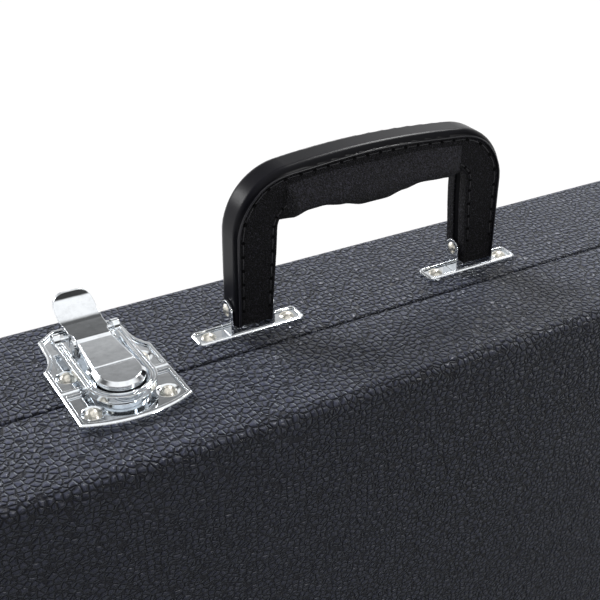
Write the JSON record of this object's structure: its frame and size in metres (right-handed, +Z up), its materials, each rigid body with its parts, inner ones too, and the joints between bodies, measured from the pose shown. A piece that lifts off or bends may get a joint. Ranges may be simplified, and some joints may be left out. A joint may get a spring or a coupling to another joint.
{
  "type": "electric guitar case",
  "caption": "Rectangular hard case for an electric guitar with a hinged lid, draw latches, a carry handle and a padded, shaped inside.",
  "frame": {"origin": "on the surface that the feet stand on, under the middle of the case", "axes": "+X along the case towards the neck end, -Y out of the lid, +Z up towards the handle"},
  "size_m": [1.024, 0.1254, 0.4712],
  "materials": {
    "covering": "pebble grain",
    "board": "plywood",
    "plush": "plush",
    "chrome": "polished",
    "rivet": "nickel-washed brass",
    "rubber": "matt",
    "screw": "zinc",
    "band": "gloss",
    "handle_leather": "grained"
  },
  "bodies": {
    "tray": {"tray_covering": "covering", "tray_shell": "board", "tray_lining": "plush", "tray_foot_left": "rubber", "tray_foot_right": "rubber", "tray_foot_screws": "screw", "hinge_rivets_tray": "rivet", "body_surround_top": "plush", "body_surround_bottom": "plush", "neck_rest": "plush", "compartment_wall_inner": "plush", "compartment_wall_left": "plush", "compartment_wall_right": "plush", "handle_bracket_left": "chrome", "handle_bracket_right": "chrome", "bracket_rivets": "rivet", "handle_pivot_pins": "chrome", "latch_rivets_tray": "rivet", "latch_lever_pins": "chrome", "hinge_leaf_tray_1": "chrome", "hinge_leaf_tray_2": "chrome", "hinge_leaf_tray_3": "chrome", "hinge_pin_1": "chrome", "hinge_pin_2": "chrome", "hinge_pin_3": "chrome", "latch_base_1": "chrome", "latch_base_2": "chrome", "latch_base_3": "chrome", "latch_base_4": "chrome"},
    "lid": {"lid_covering": "covering", "lid_shell": "board", "lid_lining": "plush", "lid_pad": "plush", "lid_foot_left": "rubber", "lid_foot_right": "rubber", "lid_foot_screws": "screw", "hinge_rivets_lid": "rivet", "latch_rivets_lid": "rivet", "hinge_leaf_lid_1": "chrome", "hinge_leaf_lid_2": "chrome", "hinge_leaf_lid_3": "chrome", "latch_catch_1": "chrome", "latch_catch_2": "chrome", "latch_catch_3": "chrome", "latch_catch_4": "chrome"},
    "handle": {"handle_band": "band", "handle_leather": "handle_leather", "handle_grip": "handle_leather"},
    "lever_1": {"latch_lever_1": "chrome"},
    "bail_1": {"latch_bail_1": "chrome"},
    "lever_2": {"latch_lever_2": "chrome"},
    "bail_2": {"latch_bail_2": "chrome"},
    "lever_3": {"latch_lever_3": "chrome"},
    "bail_3": {"latch_bail_3": "chrome"},
    "lever_4": {"latch_lever_4": "chrome"},
    "bail_4": {"latch_bail_4": "chrome"}
  },
  "joints": [
    {"name": "lid_hinge", "type": "hinge", "parent": "tray", "child": "lid", "pos_m": [0, -0.0079, 0.0085], "axis": [1, 0, 0], "range_deg": [0, 105]},
    {"name": "handle_swing", "type": "hinge", "parent": "tray", "child": "handle", "pos_m": [-0.05, 0.0091, 0.4013], "axis": [1, 0, 0], "range_deg": [-90, 90]},
    {"name": "lever_lift_1", "type": "hinge", "parent": "tray", "child": "lever_1", "pos_m": [-0.4, 0.0197, 0.3976], "axis": [1, 0, 0], "range_deg": [0, 90]},
    {"name": "bail_lift_1", "type": "hinge", "parent": "lever_1", "child": "bail_1", "pos_m": [-0.4, 0.0291, 0.3962], "axis": [-1, 0, 0], "range_deg": [0, 121.5]},
    {"name": "lever_lift_2", "type": "hinge", "parent": "tray", "child": "lever_2", "pos_m": [-0.186, 0.0197, 0.3976], "axis": [1, 0, 0], "range_deg": [0, 90]},
    {"name": "bail_lift_2", "type": "hinge", "parent": "lever_2", "child": "bail_2", "pos_m": [-0.186, 0.0291, 0.3962], "axis": [-1, 0, 0], "range_deg": [0, 121.5]},
    {"name": "lever_lift_3", "type": "hinge", "parent": "tray", "child": "lever_3", "pos_m": [0.186, 0.0197, 0.3976], "axis": [1, 0, 0], "range_deg": [0, 90]},
    {"name": "bail_lift_3", "type": "hinge", "parent": "lever_3", "child": "bail_3", "pos_m": [0.186, 0.0291, 0.3962], "axis": [-1, 0, 0], "range_deg": [0, 121.5]},
    {"name": "lever_lift_4", "type": "hinge", "parent": "tray", "child": "lever_4", "pos_m": [0.4, 0.0197, 0.3976], "axis": [1, 0, 0], "range_deg": [0, 90]},
    {"name": "bail_lift_4", "type": "hinge", "parent": "lever_4", "child": "bail_4", "pos_m": [0.4, 0.0291, 0.3962], "axis": [-1, 0, 0], "range_deg": [0, 121.5]}
  ],
  "couplings": [
    {"joint": "bail_lift_1", "follows": "lever_lift_1", "ratio": 1.35},
    {"joint": "bail_lift_2", "follows": "lever_lift_2", "ratio": 1.35},
    {"joint": "bail_lift_3", "follows": "lever_lift_3", "ratio": 1.35},
    {"joint": "bail_lift_4", "follows": "lever_lift_4", "ratio": 1.35}
  ]
}
